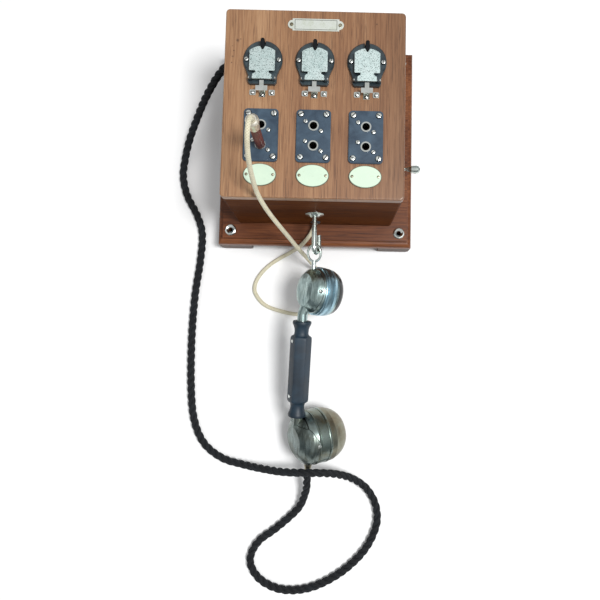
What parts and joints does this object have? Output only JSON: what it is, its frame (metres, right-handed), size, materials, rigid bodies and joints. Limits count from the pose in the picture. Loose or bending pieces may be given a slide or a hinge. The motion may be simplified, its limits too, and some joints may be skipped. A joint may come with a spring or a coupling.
{
  "type": "telephone switchboard",
  "caption": "Wooden cased telephone switchboard with drop shutters, jacks, a plug cord and a handset hanging on its switch hook.",
  "frame": {"origin": "middle of the four wall screw holes, at the underside of the battens", "axes": "+Z out of the front panel, +Y towards the top of the panel, +X to the right seen from the front"},
  "size_m": [0.2911, 0.6629, 0.2365],
  "materials": {
    "varnished_walnut": "varnished, satin to glossy",
    "nickel": "old nickel plating, slightly speckled",
    "black_ebonite": "polished ebonite, slightly greyed",
    "iron": "blackened soft iron",
    "steel": "bright steel",
    "green_wire": "silk-covered wire",
    "spring_brass": "lacquered brass",
    "ivory": "ivory celluloid",
    "red_fibre": "vulcanised fibre, satin",
    "worn_nickel": "worn nickel over brass",
    "black_braid": "twisted braided cotton",
    "cream_braid": "braided cotton",
    "bronzed_brass": "darkened nickel-brass, polished",
    "dark_wood": "unpolished hardwood"
  },
  "bodies": {
    "cabinet": {"wall_battens": "varnished_walnut", "backboard": "varnished_walnut", "wall_eyelets": "nickel", "case_screws": "iron", "case_frame": "varnished_walnut", "front_panel": "varnished_walnut", "nameplate": "nickel", "name_screws": "nickel", "drop_base_1": "black_ebonite", "drop_base_2": "black_ebonite", "drop_base_3": "black_ebonite", "shutter_pins": "steel", "drop_screws": "nickel", "bell_contacts": "nickel", "contact_screws": "nickel", "drop_yokes": "iron", "drop_coil_1": "green_wire", "drop_coil_2": "green_wire", "drop_coil_3": "green_wire", "jack_plate_1": "black_ebonite", "jack_plate_2": "black_ebonite", "jack_plate_3": "black_ebonite", "plate_screws": "nickel", "jack_screws": "nickel", "jack_bushes": "nickel", "jack_springs": "spring_brass", "label_1": "ivory", "label_2": "ivory", "label_3": "ivory", "hook_rosette": "nickel", "hook_guide": "spring_brass", "hook_spring": "steel", "hook_contacts": "spring_brass", "lever_bush": "spring_brass", "side_screw": "spring_brass", "cord_glands": "black_ebonite", "black_cord": "black_braid", "cream_cord": "cream_braid", "terminal_strip": "dark_wood", "induction_coil": "green_wire"},
    "shutter_body_1": {"shutter_1": "nickel"},
    "shutter_body_2": {"shutter_2": "nickel"},
    "shutter_body_3": {"shutter_3": "nickel"},
    "latch_body_1": {"latch_1": "iron"},
    "latch_body_2": {"latch_2": "iron"},
    "latch_body_3": {"latch_3": "iron"},
    "switch_hook": {"hook_rod": "nickel"},
    "lever": {"side_lever": "nickel"},
    "plug": {"plug_pin": "spring_brass", "plug_sleeve": "red_fibre", "plug_cap": "worn_nickel"},
    "handset": {"hanging_ring": "nickel", "receiver_body": "nickel", "ear_cap": "black_ebonite", "grip": "black_ebonite", "grip_screws": "nickel", "handset_tube": "nickel", "transmitter_body": "bronzed_brass", "transmitter_cap": "bronzed_brass", "cord_tail": "worn_nickel"}
  },
  "joints": [
    {"name": "shutter_1_fall", "type": "hinge", "parent": "cabinet", "child": "shutter_body_1", "pos_m": [-0.0525, 0.022, 0.164], "axis": [1, 0, 0], "range_deg": [0, 90]},
    {"name": "shutter_2_fall", "type": "hinge", "parent": "cabinet", "child": "shutter_body_2", "pos_m": [0, 0.022, 0.164], "axis": [1, 0, 0], "range_deg": [0, 90]},
    {"name": "shutter_3_fall", "type": "hinge", "parent": "cabinet", "child": "shutter_body_3", "pos_m": [0.0525, 0.022, 0.164], "axis": [1, 0, 0], "range_deg": [0, 90]},
    {"name": "latch_1_pull", "type": "hinge", "parent": "cabinet", "child": "latch_body_1", "pos_m": [-0.0525, 0.0596, 0.1422], "axis": [-1, 0, 0], "range_deg": [0, 4], "stiffness_Nm_per_rad": 0.02},
    {"name": "latch_2_pull", "type": "hinge", "parent": "cabinet", "child": "latch_body_2", "pos_m": [0, 0.0596, 0.1422], "axis": [-1, 0, 0], "range_deg": [0, 4], "stiffness_Nm_per_rad": 0.02},
    {"name": "latch_3_pull", "type": "hinge", "parent": "cabinet", "child": "latch_body_3", "pos_m": [0.0525, 0.0596, 0.1422], "axis": [-1, 0, 0], "range_deg": [0, 4], "stiffness_Nm_per_rad": 0.02},
    {"name": "handset_hang", "type": "slide", "parent": "cabinet", "child": "handset", "axis": [0, -1, 0], "range_m": [0, 0.005], "deforming": ["black_cord"]},
    {"name": "hook_pull", "type": "slide", "parent": "cabinet", "child": "switch_hook", "axis": [0, -1, 0], "range_m": [0, 0.005], "stiffness_N_per_m": 400, "deforming": ["hook_spring"]},
    {"name": "lever_turn", "type": "hinge", "parent": "cabinet", "child": "lever", "pos_m": [0.074, -0.054, 0.12], "axis": [0, 0, 1], "range_deg": [-12, 12]},
    {"name": "plug_pull", "type": "slide", "parent": "cabinet", "child": "plug", "axis": [0, 0, 1], "range_m": [0, 0.035], "deforming": ["cream_cord"]}
  ],
  "couplings": [
    {"joint": "hook_pull", "follows": "handset_hang", "ratio": 1}
  ]
}
